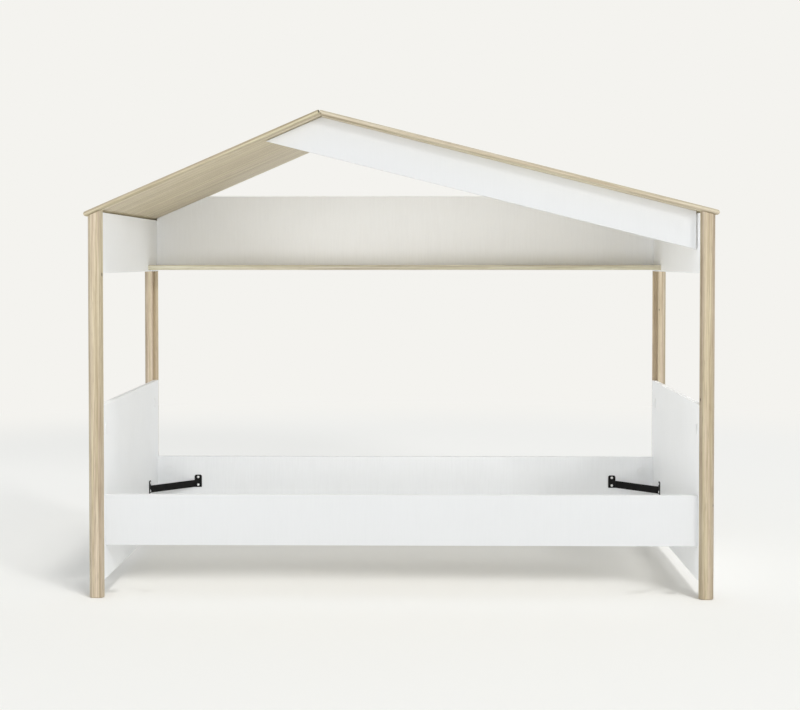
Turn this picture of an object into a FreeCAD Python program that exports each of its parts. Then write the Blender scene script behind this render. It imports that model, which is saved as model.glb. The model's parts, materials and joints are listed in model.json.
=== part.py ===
import FreeCAD, Part
import math
import os

import Sketcher
from FreeCAD import Placement, Rotation, Vector

# House frame bed: four oak posts, white end panels and rails, a shelf with a back board under the
# rear of the roof, and two oak roof boards that meet at a ridge left of the middle.
# +X is to the right as seen from the front, +Y is to the rear, +Z is up. The origin is on the floor,
# under the middle of the bed. Sizes are in millimetres.

os.makedirs("parts", exist_ok=True)
doc = FreeCAD.newDocument("HouseFrameBed")

# ---------------------------------------------------------------- driving dimensions

DIMENSIONS = {
    "frame_length": 2024,        # over the outer faces of the posts
    "frame_depth": 1016,
    "board": 18,                 # thickness of every board
    "board_ease": 1.2,           # rounding of a board's long corners
    "post_side": 48,
    "post_round": 15,            # radius of a post's rounded corners
    "post_lip": 16,              # wood left in front of the rebate that holds an end panel
    "foot_ease": 2.5,
    "rail_bottom": 168,
    "rail_height": 165,
    "lower_panel_bottom": 56,
    "lower_panel_top": 629,
    "upper_panel_bottom": 1054,
    "shelf_bottom": 1060,
    "shelf_depth": 185,
    "back_top": 1344,
    "roof_reach": 1024,          # from the middle of the bed to the rounded end of each roof board
    "ridge_offset": -264,        # the ridge lies left of the middle
    "ridge_level": 1582,         # where the two upper faces of the roof would meet
    "eave_level_left": 1253,     # the same faces, above the ends of the roof boards
    "eave_level_right": 1258,
    "ridge_ease": 4.5,
    "roof_nose": 9,              # rounded edge, half the board's thickness
    "fascia_width": 120,
    "fascia_setback": 56,        # its front face behind the front of the posts
    "fascia_end_gap": 5,
    "fascia_left_gap": 3,
    "seat_gap": 0.5,             # left under the roof by the boards that don't carry it
    "brace_reach": 160,          # from the corner to the middle of each flange
    "brace_flange_width": 28,
    "brace_flange_height": 48,
    "brace_strap_height": 27,
    "brace_plate": 2.5,
    "brace_bend": 4,
    "brace_bottom": 213.5,
    "brace_screw_low": 9.2,      # above the lower edge of the flange
    "brace_screw_pitch": 29.8,
    "brace_hole": 5,
    "brace_corner": 7,           # rounding of a flange's upper corners
    "brace_lower_corner": 3,
    "connector_round": 32,       # cup let into a board, open towards the bed
    "connector_depth": 15.5,
    "connector_wall": 1.5,
    "cap_round": 36,             # flat cover over the cup
    "cap_thickness": 1.4,
    "cap_spigot": 3.5,           # how far its rim goes into the cup
    "bolt_round": 6,
    "bolt_hole": 7,
    "bolt_head_round": 9,
    "bolt_head_length": 7,
    "bolt_head_far": 13.5,       # from the cup's middle to the end of the head that bears on the wall
    "insert_bore": 6.2,
    "insert_round": 10,
    "insert_length": 15,
    "rail_connector_inset": 43,  # from the end of the rail
    "rail_connector_pitch": 55,
    "front_connector_inset": 40,  # from the front edge of the end panel
    "rear_connector_inset": 80,
    "panel_connector_level": 547,
    "dowel_round": 8,
    "dowel_length": 30,
    "dowel_seat": 12,            # how far a dowel enters the face or lip it is glued into
    "rail_dowel_inset": 20,      # from the rail's lower and upper edges
    "lower_dowel_low": 50,       # above the bottom of a lower end panel
    "lower_dowel_high": 30,      # below its top
    "upper_dowel_low": 50,       # both above the bottom of an upper end panel
    "upper_dowel_high": 150,
    "shelf_dowel_front": 40,     # behind the shelf's front edge
    "shelf_dowel_rear": 50,      # in front of the back board
    "back_dowel_low": 45,        # both above the shelf
    "back_dowel_high": 135,
    "ridge_dowel_round": 6,
    "ridge_dowel_length": 20,
    "ridge_dowel_seat": 12,
    "ridge_dowel_drop": 12,      # below the upper corner of the joint, measured down the joint
    "screw_shank": 4,
    "pilot_share": 0.8,          # of the board's thickness, so that a pilot hole stays blind
    "brace_screw_length": 16,
    "brace_screw_head": 9.5,
    "brace_screw_crown": 3,      # height of the domed head
    "brace_screw_rim": 1.2,
    "roof_screw_inset": 14,      # from the post's outer face, so that the point stays in the post
    "roof_screw_length": 50,
    "roof_screw_shank": 5,
    "roof_screw_head": 10,
    "shelf_screw_length": 50,
    "shelf_screw_head": 8,
    "shelf_screw_crown": 3,
    "shelf_screw_sink": 4,
}

sheet = doc.addObject("Spreadsheet::Sheet", "Sizes")
for row, (alias, number) in enumerate(DIMENSIONS.items(), start=1):
    sheet.set(f"A{row}", alias)
    sheet.set(f"B{row}", str(number))
    sheet.setAlias(f"B{row}", alias)
doc.recompute()


class Size:
    """A length worked out from the sheet: its number, and the expression that keeps it bound."""

    def __init__(self, number, text):
        self.number = float(number)
        self.text = text

    @staticmethod
    def of(other):
        return other if isinstance(other, Size) else Size(other, f"({other})")

    def __add__(self, other):
        other = Size.of(other)
        return Size(self.number + other.number, f"({self.text} + {other.text})")

    def __sub__(self, other):
        other = Size.of(other)
        return Size(self.number - other.number, f"({self.text} - {other.text})")

    def __mul__(self, other):
        other = Size.of(other)
        return Size(self.number * other.number, f"({self.text} * {other.text})")

    def __truediv__(self, other):
        other = Size.of(other)
        return Size(self.number / other.number, f"({self.text} / {other.text})")

    def __neg__(self):
        return self * -1

    def __radd__(self, other):
        return Size.of(other) + self

    def __rsub__(self, other):
        return Size.of(other) - self

    def __rmul__(self, other):
        return Size.of(other) * self


def dim(alias):
    return Size(sheet.get(alias), f"Sizes.{alias}")


def root(size):
    return Size(math.sqrt(size.number), f"sqrt({size.text})")


board = dim("board")
post_side = dim("post_side")
post_lip = dim("post_lip")
half_length = dim("frame_length") / 2
half_depth = dim("frame_depth") / 2
inner_x = half_length - post_side            # inner faces of the posts and end panels
inner_y = half_depth - post_side             # inner faces of the rails
panel_x = inner_x + board                    # outer face of an end panel
panel_mid_x = inner_x + board / 2
panel_y = half_depth - post_lip              # ends of an end panel, in the rebates
rail_mid_y = inner_y + board / 2
rail_bottom = dim("rail_bottom")
rail_top = rail_bottom + dim("rail_height")
rail_mid_z = rail_bottom + dim("rail_height") / 2
post_mid_y = half_depth - post_side / 2
roof_screw_x = half_length - dim("roof_screw_inset")

# Roof: the upper faces meet at the ridge. A board lies below its upper face, so measured plumb its
# underside is the thickness times the square root of one plus the slope squared below that face.
ridge_x = dim("ridge_offset")
ridge_z = dim("ridge_level")
reach = dim("roof_reach")
slope_left = (ridge_z - dim("eave_level_left")) / (reach + ridge_x)
slope_right = (ridge_z - dim("eave_level_right")) / (reach - ridge_x)
run_left = root(1 + slope_left * slope_left)      # length along the slope for each unit of plan
run_right = root(1 + slope_right * slope_right)


def angle_of(slope):
    return Size(math.degrees(math.atan(slope.number)), f"atan({slope.text})")


angle_left = angle_of(slope_left)
angle_right = angle_of(slope_right)


def underside(x, side):
    """Level of the roof's underside above a point x that lies on the given side of the ridge."""
    if side < 0:
        return ridge_z - board * run_left - slope_left * (ridge_x - x)
    return ridge_z - board * run_right - slope_right * (x - ridge_x)


# ---------------------------------------------------------------- sketching tools

PLANES = {"XY": "XY_Plane", "XZ": "XZ_Plane", "YZ": "YZ_Plane"}


def new_body(label):
    body = doc.addObject("PartDesign::Body", label)
    body.Label = label
    return body


def origin_plane(body, plane):
    return [f for f in body.Origin.OriginFeatures if f.Role == PLANES[plane]][0]


def new_sketch(body, name, plane, level=None):
    """A sketch on one of the body's origin planes, lifted to the given level along the normal axis."""
    sketch = body.newObject("Sketcher::SketchObject", name)
    sketch.AttachmentSupport = [(origin_plane(body, plane), "")]
    sketch.MapMode = "FlatFace"
    if level is not None:
        lift = -level if plane == "XZ" else level      # the XZ plane's normal points to the front
        sketch.AttachmentOffset = Placement(Vector(0, 0, lift.number), Rotation())
        sketch.setExpression("AttachmentOffset.Base.z", lift.text)
    return sketch


def fix(sketch, kind, size, *where):
    index = sketch.addConstraint(Sketcher.Constraint(kind, *where, size.number))
    sketch.setExpression(f"Constraints[{index}]", size.text)


def fix_point(sketch, geometry, end, point):
    fix(sketch, "DistanceX", Size.of(point[0]), -1, 1, geometry, end)
    fix(sketch, "DistanceY", Size.of(point[1]), -1, 1, geometry, end)


def outline(sketch, corners, arcs=None):
    """A closed outline through the corners. arcs gives, for the number of a side that is an arc, its
    centre and which way it turns on the way round: 1 for anticlockwise, -1 for clockwise."""
    arcs = arcs or {}
    points = [Vector(Size.of(c[0]).number, Size.of(c[1]).number, 0) for c in corners]
    sides = []
    for i, start in enumerate(points):
        end = points[(i + 1) % len(points)]
        if i in arcs:
            centre, turn = arcs[i]
            middle = Vector(Size.of(centre[0]).number, Size.of(centre[1]).number, 0)
            first, last = (start, end) if turn > 0 else (end, start)
            circle = Part.Circle(middle, Vector(0, 0, 1), middle.distanceToPoint(start))
            piece = Part.ArcOfCircle(circle, circle.parameter(first), circle.parameter(last))
        else:
            piece = Part.LineSegment(start, end)
        sides.append(sketch.addGeometry(piece, False))
    # a clockwise arc is stored the other way round, so it starts at its second end
    first_end = [2 if i in arcs and arcs[i][1] < 0 else 1 for i in range(len(sides))]
    for i, side in enumerate(sides):
        following = (i + 1) % len(sides)
        sketch.addConstraint(Sketcher.Constraint(
            "Coincident", side, 3 - first_end[i], sides[following], first_end[following]))
    for i, side in enumerate(sides):
        fix_point(sketch, side, first_end[i], corners[i])
        if i in arcs:                        # the ends are fixed, so one more size sets the arc
            centre = arcs[i][0]
            chord = points[(i + 1) % len(points)] - points[i]
            if abs(chord.y) > abs(chord.x):
                fix(sketch, "DistanceX", Size.of(centre[0]), -1, 1, side, 3)
            else:
                fix(sketch, "DistanceY", Size.of(centre[1]), -1, 1, side, 3)


def circles(sketch, spots, diameter):
    for spot in spots:
        centre = Vector(Size.of(spot[0]).number, Size.of(spot[1]).number, 0)
        ring = sketch.addGeometry(Part.Circle(centre, Vector(0, 0, 1), diameter.number / 2), False)
        fix_point(sketch, ring, 3, spot)
        fix(sketch, "Diameter", diameter, ring)


def pad(body, sketch, length, centred=False, back=False):
    feature = body.newObject("PartDesign::Pad", sketch.Name + "_pad")
    feature.Profile = sketch
    feature.setExpression("Length", length.text)
    feature.Midplane = centred
    feature.Reversed = back
    sketch.Visibility = False
    return feature


def cut(body, sketch, length):
    """Cuts the sketch's outline, half of the length to each side of the sketch."""
    feature = body.newObject("PartDesign::Pocket", sketch.Name + "_cut")
    feature.Profile = sketch
    feature.setExpression("Length", length.text)
    feature.Midplane = True
    sketch.Visibility = False
    return feature


def drill(body, name, axis, start, end, spots, diameter):
    """Round holes along the axis from start to end. Each spot gives the two other coordinates."""
    plane = {"X": "YZ", "Y": "XZ", "Z": "XY"}[axis]
    sketch = new_sketch(body, name, plane, (start + end) * 0.5)
    circles(sketch, spots, diameter)
    length = end - start if end.number > start.number else start - end
    return cut(body, sketch, length)


def drill_tilted(body, name, tilt, origin, spots, depth, diameter):
    """Round holes cut to the depth on both sides of a plane: the level plane through the origin given,
    turned about Y by the tilt. Spots are measured from that origin, along the turned X and along Y."""
    sketch = new_sketch(body, name, "XY")
    place = [Size.of(p) for p in origin]
    sketch.AttachmentOffset = Placement(
        Vector(*[p.number for p in place]), Rotation(Vector(0, 1, 0), tilt.number))
    for axis, size in zip("xyz", place):
        sketch.setExpression(f"AttachmentOffset.Base.{axis}", size.text)
    sketch.setExpression("AttachmentOffset.Rotation.Angle", tilt.text)
    circles(sketch, spots, diameter)
    return cut(body, sketch, depth * 2)


def turn_solid(body, sketch):
    """The sketch turned about its upright axis."""
    feature = body.newObject("PartDesign::Revolution", sketch.Name + "_turned")
    feature.Profile = sketch
    feature.ReferenceAxis = (sketch, ["V_Axis"])
    feature.Angle = 360
    sketch.Visibility = False
    return feature


def edges_where(feature, test):
    doc.recompute()
    shape = feature.Shape
    return [f"Edge{n}" for n, edge in enumerate(shape.Edges, start=1) if test(edge)]


def round_edges(body, feature, test, radius, name, kind="Fillet"):
    names = edges_where(feature, test)
    rounding = body.newObject(f"PartDesign::{kind}", name)
    rounding.Base = (feature, names)
    rounding.setExpression("Radius" if kind == "Fillet" else "Size", radius.text)
    return rounding


def is_along(edge, direction):
    if not isinstance(edge.Curve, Part.Line):
        return False
    return abs(edge.tangentAt(edge.FirstParameter).dot(direction)) > 0.999


def long_straight(edge):
    return isinstance(edge.Curve, Part.Line) and edge.Length > 100


def tangent(angle):
    return Size(math.tan(math.radians(angle.number)), f"tan({angle.text})")


def sine(angle):
    return Size(math.sin(math.radians(angle.number)), f"sin({angle.text})")


def cosine(angle):
    return Size(math.cos(math.radians(angle.number)), f"cos({angle.text})")


# ---------------------------------------------------------------- positions of the fittings

SIDES = {"left": -1, "right": 1}
ENDS = {"front": -1, "rear": 1}
SHELF_SCREW_SHARES = (-0.8, -0.4, 0, 0.4, 0.8)       # of half the length, from the middle
FASCIA_DOWEL_SHARES = (1 / 6, 5 / 12, 2 / 3, 11 / 12)  # of the right roof board's length, from the ridge
RIDGE_DOWEL_SHARES = (-0.4, -0.14, 0.14, 0.4)        # of the depth, from the middle

rail_connector_x = inner_x - dim("rail_connector_inset")
rail_connector_z = [
    rail_mid_z - dim("rail_connector_pitch") / 2,
    rail_mid_z + dim("rail_connector_pitch") / 2,
]
panel_connector_z = [dim("panel_connector_level")]
panel_connector_y = {
    "front": -(panel_y - dim("front_connector_inset")),
    "rear": panel_y - dim("rear_connector_inset"),
}
rail_dowel_z = [rail_bottom + dim("rail_dowel_inset"), rail_top - dim("rail_dowel_inset")]
lower_dowel_z = [
    dim("lower_panel_bottom") + dim("lower_dowel_low"),
    dim("lower_panel_top") - dim("lower_dowel_high"),
]
upper_dowel_z = [
    dim("upper_panel_bottom") + dim("upper_dowel_low"),
    dim("upper_panel_bottom") + dim("upper_dowel_high"),
]
shelf_mid_z = dim("shelf_bottom") + board / 2
shelf_top = dim("shelf_bottom") + board
back_y = panel_y - board                     # front face of the back board
back_mid_y = panel_y - board / 2
shelf_front = back_y - dim("shelf_depth")
shelf_dowel_y = [shelf_front + dim("shelf_dowel_front"), back_y - dim("shelf_dowel_rear")]
back_dowel_z = [shelf_top + dim("back_dowel_low"), shelf_top + dim("back_dowel_high")]
shelf_screw_x = [half_length * share for share in SHELF_SCREW_SHARES]
brace_screw_z = [
    dim("brace_bottom") + dim("brace_screw_low"),
    dim("brace_bottom") + dim("brace_screw_low") + dim("brace_screw_pitch"),
]
brace_x = inner_x - dim("brace_reach")
brace_y = inner_y - dim("brace_reach")
dowel_round = dim("dowel_round")
dowel_seat = dim("dowel_seat")
dowel_free = dim("dowel_length") - dowel_seat
pilot = dim("screw_shank")
pilot_depth = board * dim("pilot_share")

# ---------------------------------------------------------------- posts

UP = Vector(0, 0, 1)


def make_post(end, side):
    sx, sy = SIDES[side], ENDS[end]
    body = new_body(f"post_{end}_{side}")
    section = new_sketch(body, f"section_{end}_{side}", "XY")
    outline(section, [
        (half_length * sx, half_depth * sy),
        (inner_x * sx, half_depth * sy),
        (inner_x * sx, panel_y * sy),
        (panel_x * sx, panel_y * sy),
        (panel_x * sx, inner_y * sy),
        (half_length * sx, inner_y * sy),
    ])
    shaft = pad(body, section, ridge_z)

    def rounded_corner(edge):
        if not is_along(edge, UP):
            return False
        x, y = abs(edge.Vertexes[0].X), abs(edge.Vertexes[0].Y)
        return x > half_length.number - 0.1 or y > half_depth.number - 0.1

    rounding = round_edges(body, shaft, rounded_corner, dim("post_round"), f"corners_{end}_{side}")

    top = new_sketch(body, f"top_{end}_{side}", "XZ", post_mid_y * sy)
    wide = post_side * 2
    outline(top, [
        ((half_length + post_side) * sx, underside((half_length + post_side) * sx, sx)),
        ((half_length - wide) * sx, underside((half_length - wide) * sx, sx)),
        ((half_length - wide) * sx, ridge_z + wide),
        ((half_length + post_side) * sx, ridge_z + wide),
    ])
    cut(body, top, wide)

    lip = (panel_y * sy, (panel_y + dowel_seat) * sy)
    dowels = [(panel_mid_x * sx, z) for z in lower_dowel_z + upper_dowel_z]
    drill(body, f"dowel_holes_{end}_{side}", "Y", *lip, dowels, dowel_round)
    bolts = [(panel_mid_x * sx, z) for z in panel_connector_z]
    drill(body, f"panel_bolt_holes_{end}_{side}", "Y", *lip, bolts, dim("bolt_round"))
    inserts = [(rail_mid_y * sy, z) for z in rail_connector_z]
    drill(body, f"insert_holes_{end}_{side}", "X", panel_x * sx, (panel_x + dim("insert_length")) * sx,
          inserts, dim("insert_round"))

    screw_hole = drill_tilted(
        body, f"roof_screw_hole_{end}_{side}", (angle_left if sx < 0 else angle_right) * sx,
        (roof_screw_x * sx, post_mid_y * sy, underside(roof_screw_x * sx, sx)), [(0, 0)],
        dim("roof_screw_length") - board, dim("roof_screw_shank"),
    )

    def foot(edge):                          # the rounding runs on from these two sides to the others
        on_floor = all(v.Z < 0.01 for v in edge.Vertexes)
        outside = all(abs(v.X) > half_length.number - 0.1 for v in edge.Vertexes)
        in_front = all(abs(v.Y) > half_depth.number - 0.1 for v in edge.Vertexes)
        return on_floor and (outside or in_front)

    round_edges(body, screw_hole, foot, dim("foot_ease"), f"foot_{end}_{side}", "Chamfer")
    return body


nodes = [make_post(end, side) for end in ENDS for side in SIDES]

# ---------------------------------------------------------------- flat boards


def plain_board(label, low, high):
    """A board between two corners, its long corners eased."""
    body = new_body(label)
    plan = new_sketch(body, f"plan_{label}", "XY", low[2])
    outline(plan, [(low[0], low[1]), (high[0], low[1]), (high[0], high[1]), (low[0], high[1])])
    block = pad(body, plan, high[2] - low[2])
    round_edges(body, block, long_straight, dim("board_ease"), f"eased_{label}")
    return body


def across(sx, near, far):
    """Low and high x of a board that stands between two distances from the middle."""
    return (near * sx, far * sx) if sx > 0 else (far * sx, near * sx)


def make_lower_panel(side):
    sx = SIDES[side]
    label = f"lower_end_panel_{side}"
    x_low, x_high = across(sx, inner_x, panel_x)
    body = plain_board(label, (x_low, -panel_y, dim("lower_panel_bottom")),
                       (x_high, panel_y, dim("lower_panel_top")))
    inner, outer = inner_x * sx, panel_x * sx
    connectors = [(y, z) for y in panel_connector_y.values() for z in panel_connector_z]
    drill(body, f"housings_{label}", "X", inner, inner + dim("connector_depth") * sx,
          connectors, dim("connector_round"))
    rails = [(rail_mid_y * sy, z) for sy in (-1, 1) for z in rail_connector_z]
    drill(body, f"rail_bolt_holes_{label}", "X", inner, outer, rails, dim("bolt_hole"))
    rail_dowels = [(rail_mid_y * sy, z) for sy in (-1, 1) for z in rail_dowel_z]
    drill(body, f"rail_dowel_holes_{label}", "X", inner, inner + dowel_seat * sx,
          rail_dowels, dowel_round)
    screws = [(brace_y * sy, z) for sy in (-1, 1) for z in brace_screw_z]
    drill(body, f"brace_screw_holes_{label}", "X", inner, inner + pilot_depth * sx, screws, pilot)
    for end, sy in ENDS.items():
        edge = panel_y * sy
        drill(body, f"dowel_holes_{end}_{label}", "Y", edge - dowel_free * sy, edge,
              [(panel_mid_x * sx, z) for z in lower_dowel_z], dowel_round)
        drill(body, f"bolt_holes_{end}_{label}", "Y", panel_connector_y[end], edge,
              [(panel_mid_x * sx, z) for z in panel_connector_z], dim("bolt_hole"))
    return body


def make_upper_panel(side):
    sx = SIDES[side]
    label = f"upper_end_panel_{side}"
    x_low, x_high = across(sx, inner_x, panel_x)
    top = underside(panel_x * sx, sx) - dim("seat_gap")
    body = plain_board(label, (x_low, -panel_y, dim("upper_panel_bottom")), (x_high, panel_y, top))
    inner = inner_x * sx
    for end, sy in ENDS.items():
        drill(body, f"dowel_holes_{end}_{label}", "Y", (panel_y - dowel_free) * sy, panel_y * sy,
              [(panel_mid_x * sx, z) for z in upper_dowel_z], dowel_round)
    ends = [(y, shelf_mid_z) for y in shelf_dowel_y] + [(back_mid_y, z) for z in back_dowel_z]
    drill(body, f"shelf_dowel_holes_{label}", "X", inner, inner + dowel_seat * sx, ends, dowel_round)
    return body


def make_rail(end):
    sy = ENDS[end]
    label = f"{end}_rail"
    y_low, y_high = across(sy, inner_y, inner_y + board)
    body = plain_board(label, (-inner_x, y_low, rail_bottom), (inner_x, y_high, rail_top))
    inner = inner_y * sy
    connectors = [(rail_connector_x * sx, z) for sx in (-1, 1) for z in rail_connector_z]
    drill(body, f"housings_{label}", "Y", inner, inner + dim("connector_depth") * sy,
          connectors, dim("connector_round"))
    screws = [(brace_x * sx, z) for sx in (-1, 1) for z in brace_screw_z]
    drill(body, f"brace_screw_holes_{label}", "Y", inner, inner + pilot_depth * sy, screws, pilot)
    for side, sx in SIDES.items():
        drill(body, f"bolt_holes_{side}_{label}", "X", rail_connector_x * sx, inner_x * sx,
              [(rail_mid_y * sy, z) for z in rail_connector_z], dim("bolt_hole"))
        drill(body, f"dowel_holes_{side}_{label}", "X", (inner_x - dowel_free) * sx, inner_x * sx,
              [(rail_mid_y * sy, z) for z in rail_dowel_z], dowel_round)
    return body


def make_shelf():
    body = plain_board("shelf", (-inner_x, shelf_front, dim("shelf_bottom")),
                       (inner_x, back_y, shelf_top))
    for side, sx in SIDES.items():
        drill(body, f"shelf_dowel_holes_{side}", "X", (inner_x - dowel_free) * sx, inner_x * sx,
              [(y, shelf_mid_z) for y in shelf_dowel_y], dowel_round)
    screw_depth = dim("shelf_screw_length") - board + dim("shelf_screw_sink")
    drill(body, "shelf_screw_holes", "Y", back_y - screw_depth, back_y,
          [(x, shelf_mid_z) for x in shelf_screw_x], pilot)
    return body


def make_back_board():
    """The board behind the shelf, cut at both ends to the slopes of the roof."""
    body = new_body("back_board")
    face = new_sketch(body, "back_face", "XZ", back_mid_y)
    top = dim("back_top")
    gap = dim("seat_gap")
    top_left = ridge_x - (ridge_z - board * run_left - gap - top) / slope_left
    top_right = ridge_x + (ridge_z - board * run_right - gap - top) / slope_right
    outline(face, [
        (-inner_x, dim("shelf_bottom")),
        (inner_x, dim("shelf_bottom")),
        (inner_x, underside(inner_x, 1) - gap),
        (top_right, top),
        (top_left, top),
        (-inner_x, underside(-inner_x, -1) - gap),
    ])
    panel = pad(body, face, board, centred=True)
    round_edges(body, panel, long_straight, dim("board_ease"), "eased_back")
    for side, sx in SIDES.items():
        drill(body, f"back_dowel_holes_{side}", "X", (inner_x - dowel_free) * sx, inner_x * sx,
              [(back_mid_y, z) for z in back_dowel_z], dowel_round)
    spots = [(x, shelf_mid_z) for x in shelf_screw_x]
    drill(body, "back_screw_holes", "Y", back_y, panel_y, spots, pilot)
    drill(body, "back_screw_sinks", "Y", panel_y - dim("shelf_screw_sink"), panel_y, spots,
          dim("shelf_screw_head"))
    return body


nodes += [make_lower_panel(side) for side in SIDES]
nodes += [make_upper_panel(side) for side in SIDES]
nodes += [make_rail(end) for end in ENDS]
nodes += [make_shelf(), make_back_board()]

# ---------------------------------------------------------------- roof boards

# Each roof board is drawn flat in its own frame, upper face at z = 0 and ridge corner at x = 0, then
# turned about Y and set on the ridge. The left board is cut square; the right one is cut to lie
# against it, so its end leans by the sum of the two slopes.
nose = dim("roof_nose")
ridge_turn = angle_left + angle_right
rise_left = slope_left / run_left            # sine of the slope
rise_right = slope_right / run_right


def board_run(side):
    """Length along the slope from the ridge to the rounded end, which reaches the roof's reach."""
    if side < 0:
        return (reach + ridge_x + nose * rise_left - nose) * run_left + nose
    return (reach - ridge_x + nose * rise_right - nose) * run_right + nose


lean = tangent(ridge_turn) * board           # how far the right board's end leans out below
fascia_mid_y = -(half_depth - dim("fascia_setback") - board / 2)
fascia_dowels = [(board_run(1) * share, fascia_mid_y) for share in FASCIA_DOWEL_SHARES]
ridge_dowel_y = [dim("frame_depth") * share for share in RIDGE_DOWEL_SHARES]
ridge_dowel_free = dim("ridge_dowel_length") - dim("ridge_dowel_seat")
square = Size(90, "90 deg")


def screw_run(side):
    """How far down the slope the screws into the posts are."""
    if side < 0:
        return (roof_screw_x + ridge_x) * run_left + board * slope_left
    return (roof_screw_x - ridge_x) * run_right + board * slope_right


def make_roof_board(side):
    sx = SIDES[side]
    body = new_body(f"roof_board_{side}")
    run = board_run(sx)
    section = new_sketch(body, f"roof_section_{side}", "YZ")
    straight = half_depth - nose
    outline(section, [
        (-straight, 0), (straight, 0), (straight, -board), (-straight, -board),
    ], {1: ((straight, -nose), -1), 3: ((-straight, -nose), -1)})
    pad(body, section, run, back=sx < 0)

    spare = nose                             # how far the cutting outlines stand clear of the board
    eave = new_sketch(body, f"eave_{side}", "XZ")
    outline(eave, [
        ((run - nose) * sx, 0), ((run - nose) * sx, spare), ((run + spare) * sx, spare),
        ((run + spare) * sx, -board - spare), ((run - nose) * sx, -board - spare),
        ((run - nose) * sx, -board),
    ], {5: (((run - nose) * sx, -nose), sx)})
    cut(body, eave, dim("frame_depth"))

    ease = dim("ridge_ease")
    ridge = new_sketch(body, f"ridge_{side}", "XZ")
    if sx < 0:
        outline(ridge, [
            (-ease, 0), (-ease, spare), (spare, spare), (spare, -ease), (0, -ease),
        ], {4: ((-ease, -ease), 1)})
    else:
        touch = ease / tangent((square - ridge_turn) / 2)
        outline(ridge, [
            (touch, 0), (touch, spare), (-spare, spare), (-spare, -board - spare),
            (lean * (1 + spare / board), -board - spare),
            (touch * sine(ridge_turn), -touch * cosine(ridge_turn)),
        ], {5: ((touch, -ease), -1)})
    cut(body, ridge, dim("frame_depth"))

    if sx < 0:
        drill(body, "ridge_dowel_holes_left", "X", -dim("ridge_dowel_seat"), Size.of(0),
              [(y, -dim("ridge_dowel_drop")) for y in ridge_dowel_y], dim("ridge_dowel_round"))
    else:
        drill_tilted(body, "ridge_dowel_holes_right", square - ridge_turn, (0, 0, 0),
                     [(dim("ridge_dowel_drop"), y) for y in ridge_dowel_y], ridge_dowel_free,
                     dim("ridge_dowel_round"))
        drill(body, "fascia_dowel_holes", "Z", -board, dowel_seat - board, fascia_dowels, dowel_round)

    screws = new_sketch(body, f"roof_screw_holes_{side}", "XY")
    circles(screws, [(screw_run(sx) * sx, post_mid_y * sy) for sy in (-1, 1)], dim("roof_screw_shank"))
    doc.recompute()
    hole = body.newObject("PartDesign::Hole", f"roof_screw_sinks_{side}")
    hole.Profile = screws
    hole.DepthType = "ThroughAll"
    hole.setExpression("Diameter", dim("roof_screw_shank").text)
    hole.HoleCutType = "Countersink"
    hole.HoleCutCustomValues = True
    hole.setExpression("HoleCutDiameter", dim("roof_screw_head").text)
    hole.HoleCutCountersinkAngle = 90
    screws.Visibility = False

    tilt = (angle_left if sx < 0 else angle_right) * sx
    body.Placement = Placement(Vector(ridge_x.number, 0, ridge_z.number),
                               Rotation(Vector(0, 1, 0), tilt.number))
    body.setExpression("Placement.Base.x", ridge_x.text)
    body.setExpression("Placement.Base.z", ridge_z.text)
    body.setExpression("Placement.Rotation.Angle", tilt.text)
    return body


def make_fascia():
    """The slanted board under the right roof board, cut at the left along the other slope."""
    body = new_body("gable_fascia")
    width = dim("fascia_width")
    left_drop = (board + dim("fascia_left_gap")) * run_left      # plumb, below the upper left face
    top_drop = board * run_right
    low_drop = (board + width) * run_right
    top_left = ridge_x - (top_drop - left_drop) / (slope_left + slope_right)
    tip = ridge_x - (low_drop - left_drop) / (slope_left + slope_right)
    end = inner_x - dim("fascia_end_gap")
    face = new_sketch(body, "fascia_face", "XZ", fascia_mid_y)
    outline(face, [
        (tip, underside(tip, 1) - width * run_right),
        (end, underside(end, 1) - width * run_right),
        (end, underside(end, 1)),
        (top_left, underside(top_left, 1)),
    ])
    panel = pad(body, face, board, centred=True)
    round_edges(body, panel, long_straight, dim("board_ease"), "eased_fascia")
    origin = (ridge_x - board * rise_right, 0, ridge_z - board / run_right)
    drill_tilted(body, "fascia_dowel_sockets", angle_right, origin, fascia_dowels, dowel_free,
                 dowel_round)
    return body


nodes += [make_roof_board(side) for side in SIDES]
nodes.append(make_fascia())

# ---------------------------------------------------------------- corner braces

# A brace is one folded plate. It is drawn for a corner at the origin whose boards lie along +X and +Y:
# a flange on each board and a strap across the corner, with the plate's thickness towards the bed.
plate = dim("brace_plate")
half_fold = Size(22.5, "22.5 deg")           # half of the turn of each fold
flange_near = dim("brace_reach") - dim("brace_flange_width") / 2
flange_far = dim("brace_reach") + dim("brace_flange_width") / 2
brace_fold = flange_near - (dim("brace_bend") + plate) * tangent(half_fold)
brace_inner_fold = brace_fold + plate * tangent(half_fold)
BRACE_TURNS = {"front_left": 0, "front_right": 90, "rear_right": 180, "rear_left": 270}


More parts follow.
